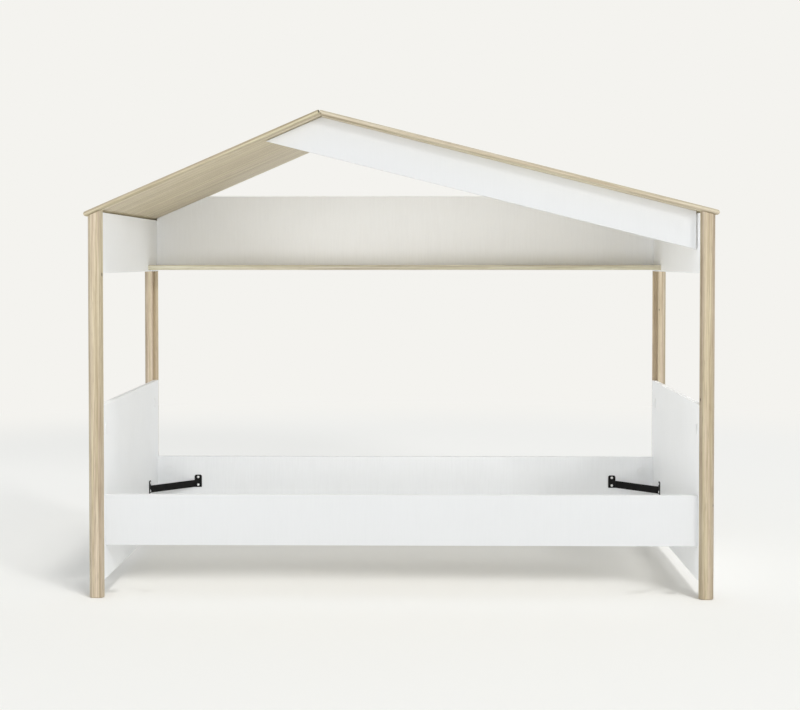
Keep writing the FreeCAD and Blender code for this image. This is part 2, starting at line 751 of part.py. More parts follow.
def make_brace(corner):
    body = new_body(f"corner_brace_{corner}")
    plan = new_sketch(body, f"brace_plan_{corner}", "XY", dim("brace_bottom"))
    outline(plan, [
        (flange_far, 0), (flange_far, plate), (brace_inner_fold, plate), (plate, brace_inner_fold),
        (plate, flange_far), (0, flange_far), (0, brace_fold), (brace_fold, 0),
    ])
    strip = pad(body, plan, dim("brace_flange_height"))

    def fold_at(reach_of_fold):
        return lambda edge: is_along(edge, UP) and abs(
            max(edge.Vertexes[0].X, edge.Vertexes[0].Y) - reach_of_fold.number) < 0.01

    outer = round_edges(body, strip, fold_at(brace_fold), dim("brace_bend") + plate,
                        f"outer_folds_{corner}")
    round_edges(body, outer, fold_at(brace_inner_fold), dim("brace_bend"), f"inner_folds_{corner}")

    relief = new_sketch(body, f"brace_relief_{corner}", "XY",
                        dim("brace_bottom") + dim("brace_flange_height"))
    outline(relief, [(-plate, -plate), (flange_near, -plate), (flange_near, flange_near),
                     (-plate, flange_near)])
    strap_cut = cut(body, relief, (dim("brace_flange_height") - dim("brace_strap_height")) * 2)

    low = dim("brace_bottom").number
    high = low + dim("brace_flange_height").number

    def flange_corner(level):
        def test(edge):
            across_plate = abs(edge.Length - plate.number) < 0.01
            return across_plate and all(abs(v.Z - level) < 0.01 for v in edge.Vertexes)
        return test

    upper = round_edges(body, strap_cut, flange_corner(high), dim("brace_corner"),
                        f"upper_corners_{corner}")
    round_edges(body, upper, flange_corner(low), dim("brace_lower_corner"), f"lower_corners_{corner}")
    spots = [(dim("brace_reach"), z) for z in brace_screw_z]
    drill(body, f"brace_holes_x_{corner}", "Y", -plate, plate * 2, spots, dim("brace_hole"))
    drill(body, f"brace_holes_y_{corner}", "X", -plate, plate * 2, spots, dim("brace_hole"))

    sx = -1 if corner.endswith("left") else 1
    sy = -1 if corner.startswith("front") else 1
    body.Placement = Placement(Vector(inner_x.number * sx, inner_y.number * sy, 0),
                               Rotation(UP, BRACE_TURNS[corner]))
    body.setExpression("Placement.Base.x", (inner_x * sx).text)
    body.setExpression("Placement.Base.y", (inner_y * sy).text)
    return body


nodes += [make_brace(corner) for corner in BRACE_TURNS]

# ---------------------------------------------------------------- fittings

# Each fitting is drawn once along +Z, then set out as a group of separate solids. A place is a point
# and the direction that the fitting's +Z is turned to.


def turned_body(label, corners, arcs=None):
    body = new_body(label)
    profile = new_sketch(body, f"profile_{label}", "XZ")
    outline(profile, corners, arcs)
    turn_solid(body, profile)
    return body


def set_out(label, places):
    """One node of separate solids: places lists a fitting, a point and a direction for each, and
    another direction for its +X where that matters."""
    doc.recompute()
    solids = []
    for fitting, point, direction, *sideways in places:
        solid = fitting.Shape.copy()
        spot = Vector(*[Size.of(p).number for p in point])
        turn = Rotation(UP, Vector(*direction))
        if sideways:
            turn = Rotation(Vector(*sideways[0]), Vector(), Vector(*direction), "ZXY")
        solid.Placement = Placement(spot, turn)
        solids.append(solid)
    group = doc.addObject("Part::Feature", label)
    group.Label = label
    group.Shape = Part.makeCompound(solids)
    return group


def make_dowel(label, diameter, length, seat):
    """A dowel whose level 0 is the joint, with the seat below it. Its ends are chamfered."""
    edge = diameter / 10
    return turned_body(label, [
        (0, -seat), (diameter / 2 - edge, -seat), (diameter / 2, edge - seat),
        (diameter / 2, length - seat - edge), (diameter / 2 - edge, length - seat),
        (0, length - seat),
    ])


def make_bolt(label, length):
    """A connector bolt with the end of its head that bears on the cup at level 0."""
    shank = dim("bolt_round") / 2
    head = dim("bolt_head_round") / 2
    edge = shank / 4
    return turned_body(label, [
        (0, -dim("bolt_head_length")), (head, -dim("bolt_head_length")), (head, 0), (shank, 0),
        (shank, length - edge), (shank - edge, length), (0, length),
    ])


def make_cup():
    """The cup of a connector: its mouth at level 0, its floor above, and a hole for the bolt along X."""
    wall = dim("connector_wall")
    cup_radius = dim("connector_round") / 2
    depth = dim("connector_depth")
    body = turned_body("connector_cup", [
        (0, depth - wall), (cup_radius - wall, depth - wall), (cup_radius - wall, 0),
        (cup_radius, 0), (cup_radius, depth), (0, depth),
    ])
    drill(body, "cup_bolt_hole", "X", Size.of(0), cup_radius, [(0, board / 2)], dim("bolt_round"))
    return body


def make_cap():
    """The flat cover of a cup: its underside at level 0 and a rim above that goes into the cup."""
    thickness = dim("cap_thickness")
    cap_radius = dim("cap_round") / 2
    rim = dim("connector_round") / 2 - dim("connector_wall")
    wall = dim("connector_wall")
    bevel = thickness / 2
    return turned_body("cover_cap", [
        (0, -thickness), (cap_radius - bevel, -thickness), (cap_radius, -bevel), (cap_radius, 0),
        (rim, 0), (rim, dim("cap_spigot")), (rim - wall, dim("cap_spigot")), (rim - wall, 0), (0, 0),
    ])


def make_brace_screw():
    shank = dim("screw_shank") / 2
    head = dim("brace_screw_head") / 2
    crown = dim("brace_screw_crown")
    rim = dim("brace_screw_rim")
    dome = ((crown - rim) * (crown - rim) + head * head) / ((crown - rim) * 2)
    length = dim("brace_screw_length")
    return turned_body("brace_screw", [
        (0, -length), (shank, shank * 2 - length), (shank, 0), (head, 0), (head, rim), (0, crown),
    ], {4: ((0, crown - dome), 1)})


def make_roof_screw():
    """A countersunk screw with the flat of its head at level 0."""
    shank = dim("roof_screw_shank") / 2
    head = dim("roof_screw_head") / 2
    length = dim("roof_screw_length")
    return turned_body("roof_screw", [
        (0, -length), (shank, shank * 2 - length), (shank, shank - head), (head, 0), (0, 0),
    ])


def make_shelf_screw():
    shank = dim("screw_shank") / 2
    head = dim("shelf_screw_head") / 2
    length = dim("shelf_screw_length")
    return turned_body("shelf_screw", [
        (0, -length), (shank, shank * 2 - length), (shank, 0), (head, 0),
        (head, dim("shelf_screw_crown")), (0, dim("shelf_screw_crown")),
    ])


def make_insert():
    bore = dim("insert_bore") / 2
    return turned_body("threaded_insert", [
        (bore, 0), (dim("insert_round") / 2, 0), (dim("insert_round") / 2, dim("insert_length")),
        (bore, dim("insert_length")),
    ])


dowel = make_dowel("dowel", dowel_round, dim("dowel_length"), dowel_seat)
ridge_dowel = make_dowel("ridge_dowel", dim("ridge_dowel_round"), dim("ridge_dowel_length"),
                         dim("ridge_dowel_seat"))
head_far = dim("bolt_head_far")
panel_bolts = {
    "front": make_bolt("front_panel_bolt", dim("front_connector_inset") - head_far + dowel_seat),
    "rear": make_bolt("rear_panel_bolt", dim("rear_connector_inset") - head_far + dowel_seat),
}
rail_bolt = make_bolt("rail_bolt", dim("rail_connector_inset") - head_far + board
                      + dim("insert_length"))
cup = make_cup()
cap = make_cap()
brace_screw = make_brace_screw()
roof_screw = make_roof_screw()
shelf_screw = make_shelf_screw()
insert = make_insert()

BOTH = (-1, 1)
CORNERS = [(end, sx, sy) for end, sy in ENDS.items() for sx in BOTH]

panel_cups = [
    (inner_x * sx, panel_connector_y[end], z, sx, sy, end)
    for end, sx, sy in CORNERS for z in panel_connector_z
]
rail_cups = [
    (rail_connector_x * sx, inner_y * sy, z, sx, sy)
    for end, sx, sy in CORNERS for z in rail_connector_z
]
nodes += [
    set_out("end_panel_connectors", [
        (cup, (x, y, z), (sx, 0, 0), (0, sy, 0)) for x, y, z, sx, sy, end in panel_cups]),
    set_out("end_panel_cover_caps", [
        (cap, (x, y, z), (sx, 0, 0)) for x, y, z, sx, sy, end in panel_cups]),
    set_out("end_panel_connector_bolts", [
        (panel_bolts[end], (panel_mid_x * sx, y + head_far * sy, z), (0, sy, 0))
        for x, y, z, sx, sy, end in panel_cups]),
    set_out("rail_connectors", [
        (cup, (x, y, z), (0, sy, 0), (sx, 0, 0)) for x, y, z, sx, sy in rail_cups]),
    set_out("rail_cover_caps", [
        (cap, (x, y, z), (0, sy, 0)) for x, y, z, sx, sy in rail_cups]),
    set_out("rail_connector_bolts", [
        (rail_bolt, (x + head_far * sx, rail_mid_y * sy, z), (sx, 0, 0))
        for x, y, z, sx, sy in rail_cups]),
    set_out("post_inserts", [
        (insert, (panel_x * sx, rail_mid_y * sy, z), (sx, 0, 0))
        for x, y, z, sx, sy in rail_cups]),
]

# A dowel's seat end points away from the direction it is set in, so the direction is the one in which
# it goes into the board that takes its longer half.
roof_across = (rise_right.number, 0, 1 / run_right.number)       # square to the right board
joint_across = (-1 / run_left.number, 0, -rise_left.number)      # from the joint down the left board


def on_right_underside(run, y):
    """A point of the right board's underside, the given run down the slope from the ridge."""
    return (ridge_x + run / run_right - board * rise_right, y,
            ridge_z - run * rise_right - board / run_right)


def on_joint(drop, y):
    """A point of the ridge joint, the given drop below its upper corner."""
    return (ridge_x + drop * rise_left, y, ridge_z - drop / run_left)


nodes += [
    set_out("lower_panel_dowels", [
        (dowel, (panel_mid_x * sx, panel_y * sy, z), (0, -sy, 0))
        for end, sx, sy in CORNERS for z in lower_dowel_z]),
    set_out("upper_panel_dowels", [
        (dowel, (panel_mid_x * sx, panel_y * sy, z), (0, -sy, 0))
        for end, sx, sy in CORNERS for z in upper_dowel_z]),
    set_out("rail_dowels", [
        (dowel, (inner_x * sx, rail_mid_y * sy, z), (-sx, 0, 0))
        for end, sx, sy in CORNERS for z in rail_dowel_z]),
    set_out("shelf_dowels", [
        (dowel, (inner_x * sx, y, shelf_mid_z), (-sx, 0, 0)) for sx in BOTH for y in shelf_dowel_y]),
    set_out("back_board_dowels", [
        (dowel, (inner_x * sx, back_mid_y, z), (-sx, 0, 0)) for sx in BOTH for z in back_dowel_z]),
    set_out("fascia_dowels", [
        (dowel, on_right_underside(run, y), [-a for a in roof_across]) for run, y in fascia_dowels]),
    set_out("ridge_dowels", [
        (ridge_dowel, on_joint(dim("ridge_dowel_drop"), y), [-a for a in joint_across])
        for y in ridge_dowel_y]),
]


def roof_screw_place(sx, sy):
    run, rise, length = (run_left, rise_left, screw_run(-1)) if sx < 0 else (
        run_right, rise_right, screw_run(1))
    point = (ridge_x + length / run * sx, post_mid_y * sy, ridge_z - length * rise)
    return (roof_screw, point, (rise.number * sx, 0, 1 / run.number))


nodes += [
    set_out("roof_screws", [roof_screw_place(sx, sy) for end, sx, sy in CORNERS]),
    set_out("shelf_screws", [
        (shelf_screw, (x, panel_y - dim("shelf_screw_sink"), shelf_mid_z), (0, 1, 0))
        for x in shelf_screw_x]),
    set_out("brace_screws", [
        (brace_screw, (brace_x * sx, (inner_y - plate) * sy, z), (0, -sy, 0))
        for end, sx, sy in CORNERS for z in brace_screw_z
    ] + [
        (brace_screw, ((inner_x - plate) * sx, brace_y * sy, z), (-sx, 0, 0))
        for end, sx, sy in CORNERS for z in brace_screw_z
    ]),
]

# ---------------------------------------------------------------- checks and files

doc.recompute()
failed = [item.Name for item in doc.Objects if {"Invalid", "Error"} & set(item.State)]
if failed:
    raise RuntimeError(f"objects that failed: {failed}")
for node in nodes:
    shape = node.Shape
    print(node.Label, len(shape.Solids), round(shape.Volume), shape.BoundBox)
    if shape.isNull() or not shape.isValid():
        raise RuntimeError(f"{node.Label} has no valid shape")
for node in nodes:
    node.Shape.exportStep(f"parts/{node.Label}.step")
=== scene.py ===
import json
import math

import bmesh
import bpy
import numpy as np
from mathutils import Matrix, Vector


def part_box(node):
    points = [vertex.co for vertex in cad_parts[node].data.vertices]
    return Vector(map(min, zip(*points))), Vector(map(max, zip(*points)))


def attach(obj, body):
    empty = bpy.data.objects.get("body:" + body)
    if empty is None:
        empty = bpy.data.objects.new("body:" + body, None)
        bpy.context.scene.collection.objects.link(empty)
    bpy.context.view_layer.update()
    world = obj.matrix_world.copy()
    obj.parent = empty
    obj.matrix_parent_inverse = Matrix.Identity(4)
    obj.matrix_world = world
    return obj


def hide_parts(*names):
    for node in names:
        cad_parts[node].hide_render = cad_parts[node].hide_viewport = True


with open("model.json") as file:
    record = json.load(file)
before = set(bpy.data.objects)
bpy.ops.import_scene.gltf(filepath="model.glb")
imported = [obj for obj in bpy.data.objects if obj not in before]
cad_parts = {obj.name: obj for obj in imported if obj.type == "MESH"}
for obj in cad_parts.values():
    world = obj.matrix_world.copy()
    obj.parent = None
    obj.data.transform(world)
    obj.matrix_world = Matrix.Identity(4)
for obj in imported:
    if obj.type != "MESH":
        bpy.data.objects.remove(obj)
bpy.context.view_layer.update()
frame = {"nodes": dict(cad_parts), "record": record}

print("frame loaded:", len(frame["nodes"]), "nodes")

# House frame bed, in metres: +X right as seen from the open front, +Y to the rear, +Z up.

camera = {
    "place": (0.07724, -5.24204, 1.09585),
    "yaw": -0.0143,            # turned a little to the left
    "pitch": 0.0242,           # looking a little down
    "focalPixels": 1471.0,
    "imageWidth": 800,
    "imageHeight": 710,
    "middle": (403.5, 296.0),  # the pixel straight ahead of the lens
    "sensor": 36.0,
}


def makeCamera(c):
    data = bpy.data.cameras.new("camera")
    data.sensor_fit = "HORIZONTAL"
    data.sensor_width = c["sensor"]
    data.lens = c["focalPixels"] * c["sensor"] / c["imageWidth"]
    data.shift_x = (c["imageWidth"] / 2 - c["middle"][0]) / c["imageWidth"]
    data.shift_y = (c["middle"][1] - c["imageHeight"] / 2) / c["imageWidth"]
    data.clip_end = 200
    ahead = Vector((
        math.sin(c["yaw"]) * math.cos(c["pitch"]),
        math.cos(c["yaw"]) * math.cos(c["pitch"]),
        -math.sin(c["pitch"]),
    ))
    eye = bpy.data.objects.new("camera", data)
    eye.location = c["place"]
    eye.rotation_euler = ahead.to_track_quat("-Z", "Y").to_euler()
    bpy.context.collection.objects.link(eye)
    bpy.context.scene.camera = eye


makeCamera(camera)
bpy.context.scene.view_settings.view_transform = "Standard"
print("camera ready")

studio = {
    "background": (0.905, 0.896, 0.863),
    "ambient": (0.598, 0.612, 0.626),
    "floorColour": (0.905, 0.896, 0.863),
    "floorSpan": (-30.0, 30.0, -3.2, 40.0),  # left, right, front, rear
    "fadeCentre": (0.0, 1.2),  # round here the floor is seen as lit, and further out as the background
    "fadeRange": (2.8, 5.0),
    "suns": {                  # travel of the light, strength, softness in degrees
        "leftFrontSun": ((0.65, 1.0, 0.16), 0.20, 30.0),
        "rightFrontSun": ((-0.6, 1.0, 0.12), 0.07, 24.0),
        "shadowSun": ((0.40, 3.25, -1.0), 0.03, 6.0),
        "topSun": ((-0.15, 0.245, -1.0), 0.19, 7.0),
        "topSideSun": ((-0.22, 0.24, -1.0), 0.12, 14.0),
        "insideSun": ((0.0, 1.0, 0.1), 0.265, 60.0),
        "insideLeftSun": ((-1.0, 0.5, 0.05), 0.07, 60.0),
        "insideRightSun": ((1.0, 0.5, 0.05), 0.33, 60.0),
    },
    "lamps": {                 # place, strength, radius. Their light doesn't fall off with distance.
        "keyLamp": ((3.46, -5.57, 3.33), 0.18, 0.62),
    },
    "passes": {                # the pieces that cast no shadow in a sun's light
        "topSun": ("front_rail_fine",),
        "topSideSun": ("front_rail_fine",),
    },
    "fills": {                 # the pieces that a sun lights, where it doesn't light them all
        "insideSun": ("back_board_fine", "rear_rail_fine",
                      "lower_end_panel_left_fine", "upper_end_panel_left_fine",
                      "lower_end_panel_right_fine", "upper_end_panel_right_fine"),
        "insideLeftSun": ("lower_end_panel_left_fine", "upper_end_panel_left_fine"),
        "insideRightSun": ("lower_end_panel_right_fine", "upper_end_panel_right_fine"),
    },
}


def makeSuns(suns):
    # a surface square to a sun of irradiance pi is as bright as its colour says
    for name, (travel, strength, softness) in suns.items():
        data = bpy.data.lights.new(name, "SUN")
        data.energy = strength * math.pi
        data.angle = math.radians(softness)
        lamp = bpy.data.objects.new(name, data)
        lamp.rotation_euler = Vector(travel).to_track_quat("-Z", "Y").to_euler()
        bpy.context.collection.objects.link(lamp)


def makeLamps(lamps):
    # a point lamp's light over a square surface is energy / (4 pi^2 distance^2). Constant falloff
    # takes the distance out.
    for name, (where, strength, radius) in lamps.items():
        data = bpy.data.lights.new(name, "POINT")
        data.energy = 4 * math.pi * math.pi
        data.shadow_soft_size = radius
        data.use_nodes = True
        tree = data.node_tree
        falloff = tree.nodes.new("ShaderNodeLightFalloff")
        falloff.inputs["Strength"].default_value = strength
        tree.links.new(falloff.outputs["Constant"], tree.nodes["Emission"].inputs["Strength"])
        lamp = bpy.data.objects.new(name, data)
        lamp.location = where
        bpy.context.collection.objects.link(lamp)


def seenDirectly(tree):
    # 1 for a camera ray, a reflection and a ray through something clear
    path = tree.nodes.new("ShaderNodeLightPath")
    first = tree.nodes.new("ShaderNodeMath")
    first.operation = "MAXIMUM"
    second = tree.nodes.new("ShaderNodeMath")
    second.operation = "MAXIMUM"
    tree.links.new(path.outputs["Is Camera Ray"], first.inputs[0])
    tree.links.new(path.outputs["Is Glossy Ray"], first.inputs[1])
    tree.links.new(first.outputs[0], second.inputs[0])
    tree.links.new(path.outputs["Is Transmission Ray"], second.inputs[1])
    return second.outputs[0]


def makeWorld(s):
    # soft light from all round, shown to the camera as the background
    world = bpy.data.worlds.new("studio")
    bpy.context.scene.world = world
    world.use_nodes = True
    tree = world.node_tree
    tree.nodes.clear()
    soft = tree.nodes.new("ShaderNodeBackground")
    soft.inputs["Color"].default_value = (*s["ambient"], 1)
    shown = tree.nodes.new("ShaderNodeBackground")
    shown.inputs["Color"].default_value = (*s["background"], 1)
    mix = tree.nodes.new("ShaderNodeMixShader")
    out = tree.nodes.new("ShaderNodeOutputWorld")
    tree.links.new(seenDirectly(tree), mix.inputs["Fac"])
    tree.links.new(soft.outputs[0], mix.inputs[1])
    tree.links.new(shown.outputs[0], mix.inputs[2])
    tree.links.new(mix.outputs[0], out.inputs["Surface"])


def makeFloor(s):
    # a plain sheet. Its look turns from lit floor to background with distance from the fade's centre.
    left, right, front, rear = s["floorSpan"]
    mesh = bpy.data.meshes.new("floor")
    mesh.from_pydata([(left, front, 0), (right, front, 0), (right, rear, 0), (left, rear, 0)],
                     [], [(0, 1, 2, 3)])
    floor = bpy.data.objects.new("floor", mesh)
    bpy.context.collection.objects.link(floor)
    stuff = bpy.data.materials.new("paleFloor")
    stuff.use_nodes = True
    tree = stuff.node_tree
    lit = tree.nodes["Principled BSDF"]
    lit.inputs["Base Color"].default_value = (*s["floorColour"], 1)
    lit.inputs["Roughness"].default_value = 1.0
    lit.inputs["Specular IOR Level"].default_value = 0.0
    here = tree.nodes.new("ShaderNodeTexCoord")
    away = tree.nodes.new("ShaderNodeVectorMath")
    away.operation = "DISTANCE"
    away.inputs[1].default_value = (*s["fadeCentre"], 0)
    fade = tree.nodes.new("ShaderNodeMapRange")
    fade.interpolation_type = "SMOOTHSTEP"
    fade.inputs["From Min"].default_value = s["fadeRange"][0]
    fade.inputs["From Max"].default_value = s["fadeRange"][1]
    amount = tree.nodes.new("ShaderNodeMath")
    amount.operation = "MULTIPLY"
    shown = tree.nodes.new("ShaderNodeEmission")
    shown.inputs["Color"].default_value = (*s["background"], 1)
    mix = tree.nodes.new("ShaderNodeMixShader")
    tree.links.new(here.outputs["Object"], away.inputs[0])
    tree.links.new(away.outputs["Value"], fade.inputs["Value"])
    tree.links.new(fade.outputs[0], amount.inputs[0])
    tree.links.new(seenDirectly(tree), amount.inputs[1])
    tree.links.new(amount.outputs[0], mix.inputs["Fac"])
    tree.links.new(lit.outputs[0], mix.inputs[1])
    tree.links.new(shown.outputs[0], mix.inputs[2])
    tree.links.new(mix.outputs[0], tree.nodes["Material Output"].inputs["Surface"])
    mesh.materials.append(stuff)


def letThrough(lampName, pieceNames):
    # these pieces cast no shadow in this lamp's light
    passed = bpy.data.collections.new(lampName + "Passes")
    for name in pieceNames:
        passed.objects.link(bpy.data.objects[name])
    for entry in passed.collection_objects:
        entry.light_linking.link_state = "EXCLUDE"
    bpy.data.objects[lampName].light_linking.blocker_collection = passed


def lightOnly(lampName, pieceNames):
    # this lamp lights these pieces alone
    lit = bpy.data.collections.new(lampName + "Lights")
    for name in pieceNames:
        lit.objects.link(bpy.data.objects[name])
    bpy.data.objects[lampName].light_linking.receiver_collection = lit


makeSuns(studio["suns"])
makeLamps(studio["lamps"])
makeWorld(studio)
makeFloor(studio)
print("studio ready")

oak = {
    "dark": (0.440, 0.352, 0.246),
    "middle": (0.645, 0.558, 0.412),
    "light": (0.790, 0.712, 0.568),
    "yellow": (1.00, 1.00, 0.91),     # slow shifts of hue, which multiply the colour
    "pink": (1.00, 0.964, 0.955),
    "pore": (0.330, 0.262, 0.185),
    "seedSteps": (1.7, 2.3, 0.9),     # how far each seed moves the figure
    "stops": (0.37, 0.50, 0.62),      # where the figure is dark, middle and light
    "hueStops": (0.40, 0.60),
    "hueScale": 102.0,
    "stretch": 0.012,                 # the figure's scale along the grain, as a share of that across it
    "wideScale": 45.0,
    "bandScale": 170.0,
    "streakScale": 330.0,
    "waviness": 0.22,
    "shares": (0.24, 0.46, 0.30),     # of the wide, middle and fine figure
    "poreScale": 900.0,
    "poreStops": (0.60, 0.69),
    "poreDepth": 0.45,
    "roughness": 0.44,
    "gloss": 0.5,
    "bump": 0.20,
    "bumpDepth": 0.0006,
    "poreBump": 0.6,                  # how deep a pore is beside the streaks
}
knotsAndGapShade = {                             # dark marks, knots on the posts and painted shade at the ridge joint: the middle, and half the width
    "roof_left": [((-0.2630, -0.5070, 1.5752), 0.0042)],  # painted shade in the open end of the ridge joint
    "front_left": [((-0.9655, -0.500, 1.050), 0.0045), ((-0.9645, -0.492, 1.010), 0.0030)],
    "front_right": [((0.9660, -0.500, 0.647), 0.0040), ((1.0080, -0.503, 0.305), 0.0035)],
    "rear_left": [((-0.9700, 0.470, 0.820), 0.0030)],
    "rear_right": [((0.9850, 0.460, 0.905), 0.0030)],
}
whiteBoard = {
    "inner": (0.940, 0.955, 0.970),   # boards under the roof and round the mattress
    "front": (0.787, 0.795, 0.799),   # front rail and fascia: the same white made darker, painted shade for the stronger light they face
    "innerShade": 0.965,
    "frontShade": 0.985,
    "mottleScale": 5.0,
    "grainScale": (170.0, 170.0, 12.0),
    "stops": (0.38, 0.58),            # where the texture is in full shade, and where it has none
    "roughness": 0.42,
    "gloss": 0.35,
    "innerBump": 0.22,
    "frontBump": 0.08,
    "bumpDepth": 0.0005,
}
blackSteel = {"colour": (0.004, 0.004, 0.004), "other": (0.009, 0.009, 0.009), "roughness": 0.42,
              "gloss": 0.18, "metallic": 0.0, "scale": 240.0}
zinc = {"colour": (0.90, 0.905, 0.91), "other": (0.74, 0.745, 0.75), "roughness": 0.32,
        "gloss": 0.5, "metallic": 1.0, "scale": 300.0}
whitePlastic = {"colour": (0.935, 0.950, 0.962), "other": (0.920, 0.935, 0.947), "roughness": 0.40,
                "gloss": 0.5, "metallic": 0.0, "scale": 30.0}
greyPlastic = {"colour": (0.17, 0.18, 0.19), "other": (0.13, 0.14, 0.15), "roughness": 0.45,
               "gloss": 0.5, "metallic": 0.0, "scale": 30.0}
beech = {"colour": (0.72, 0.52, 0.33), "other": (0.62, 0.43, 0.26), "roughness": 0.6,
         "gloss": 0.5, "metallic": 0.0, "scale": 160.0}
plain = {"stops": (0.4, 0.7), "patchShare": 0.3, "smoother": 0.06, "rougher": 0.10,
         "bump": 0.05, "bumpDepth": 0.0003}


def newMaterial(name):
    # the material, its node tree and its shader
    material = bpy.data.materials.new(name)
    material.use_nodes = True
    return material, material.node_tree, material.node_tree.nodes["Principled BSDF"]


def place(tree, turn=(0, 0, 0), scale=(1, 1, 1), shift=(0, 0, 0)):
    # the point on the piece, turned first, then stretched and shifted
    here = tree.nodes.new("ShaderNodeTexCoord")
    turned = tree.nodes.new("ShaderNodeMapping")
    turned.inputs["Rotation"].default_value = turn
    stretched = tree.nodes.new("ShaderNodeMapping")
    stretched.inputs["Scale"].default_value = scale
    stretched.inputs["Location"].default_value = shift
    tree.links.new(here.outputs["Object"], turned.inputs["Vector"])
    tree.links.new(turned.outputs[0], stretched.inputs["Vector"])
    return stretched.outputs[0]


def noise(tree, where, scale, detail=2.0, rough=0.5, distortion=0.0):
    # a cloudy value from about 0.3 to 0.7
    node = tree.nodes.new("ShaderNodeTexNoise")
    node.inputs["Scale"].default_value = scale
    node.inputs["Detail"].default_value = detail
    node.inputs["Roughness"].default_value = rough
    node.inputs["Distortion"].default_value = distortion
    tree.links.new(where, node.inputs["Vector"])
    return node.outputs["Fac"]


def feed(tree, value, socket):
    # a number or colour is set, and another node's output is linked
    if isinstance(value, (int, float)):
        socket.default_value = value
    elif isinstance(value, tuple):
        socket.default_value = (*value, 1)
    else:
        tree.links.new(value, socket)


def ramp(tree, value, *stops):
    # colours at positions along the value's range
    node = tree.nodes.new("ShaderNodeValToRGB")
    points = node.color_ramp.elements
    while len(points) < len(stops):
        points.new(0.5)
    for point, (position, colour) in zip(points, stops):
        point.position = position
        point.color = (*colour, 1) if isinstance(colour, tuple) else (colour, colour, colour, 1)
    feed(tree, value, node.inputs["Fac"])
    return node.outputs["Color"]


def blend(tree, amount, first, second, kind="MIX"):
    node = tree.nodes.new("ShaderNodeMix")
    node.data_type = "RGBA"
    node.blend_type = kind
    feed(tree, amount, node.inputs[0])
    feed(tree, first, node.inputs[6])
    feed(tree, second, node.inputs[7])
    return node.outputs[2]


def combine(tree, kind, first, second):
    node = tree.nodes.new("ShaderNodeMath")
    node.operation = kind
    feed(tree, first, node.inputs[0])
    feed(tree, second, node.inputs[1])
    return node.outputs[0]


def bump(tree, shader, height, strength, distance):
    node = tree.nodes.new("ShaderNodeBump")
    node.inputs["Strength"].default_value = strength
    node.inputs["Distance"].default_value = distance
    feed(tree, height, node.inputs["Height"])
    tree.links.new(node.outputs[0], shader.inputs["Normal"])


def facing(tree, weights):
    # how far the surface faces along the weighted axes: |n . w|, in the piece's own directions
    geometry = tree.nodes.new("ShaderNodeNewGeometry")
    dot = tree.nodes.new("ShaderNodeVectorMath")
    dot.operation = "DOT_PRODUCT"
    dot.inputs[1].default_value = weights
    tree.links.new(geometry.outputs["Normal"], dot.inputs[0])
    return combine(tree, "ABSOLUTE", dot.outputs["Value"], 0.0)


def darken(tree, colour, mask, tone):
    # the colour times tone where the mask is 1
    return blend(tree, mask, colour, blend(tree, 1.0, colour, (tone, tone, tone), "MULTIPLY"))


def knotAndGapShadeMask(tree, centre, half):
    # 0 from the mark's edge out, rising to 1 at 0.3 of the way from its middle. Upwards the mark is
    # drawn out to twice its width.
    away = tree.nodes.new("ShaderNodeVectorMath")
    away.operation = "DISTANCE"
    away.inputs[1].default_value = (centre[0], centre[1], centre[2] / 2)
    tree.links.new(place(tree, scale=(1, 1, 0.5)), away.inputs[0])
    fade = tree.nodes.new("ShaderNodeMapRange")
    fade.interpolation_type = "SMOOTHSTEP"
    fade.inputs["From Min"].default_value = half
    fade.inputs["From Max"].default_value = half * 0.3
    tree.links.new(away.outputs["Value"], fade.inputs["Value"])
    return fade.outputs[0]


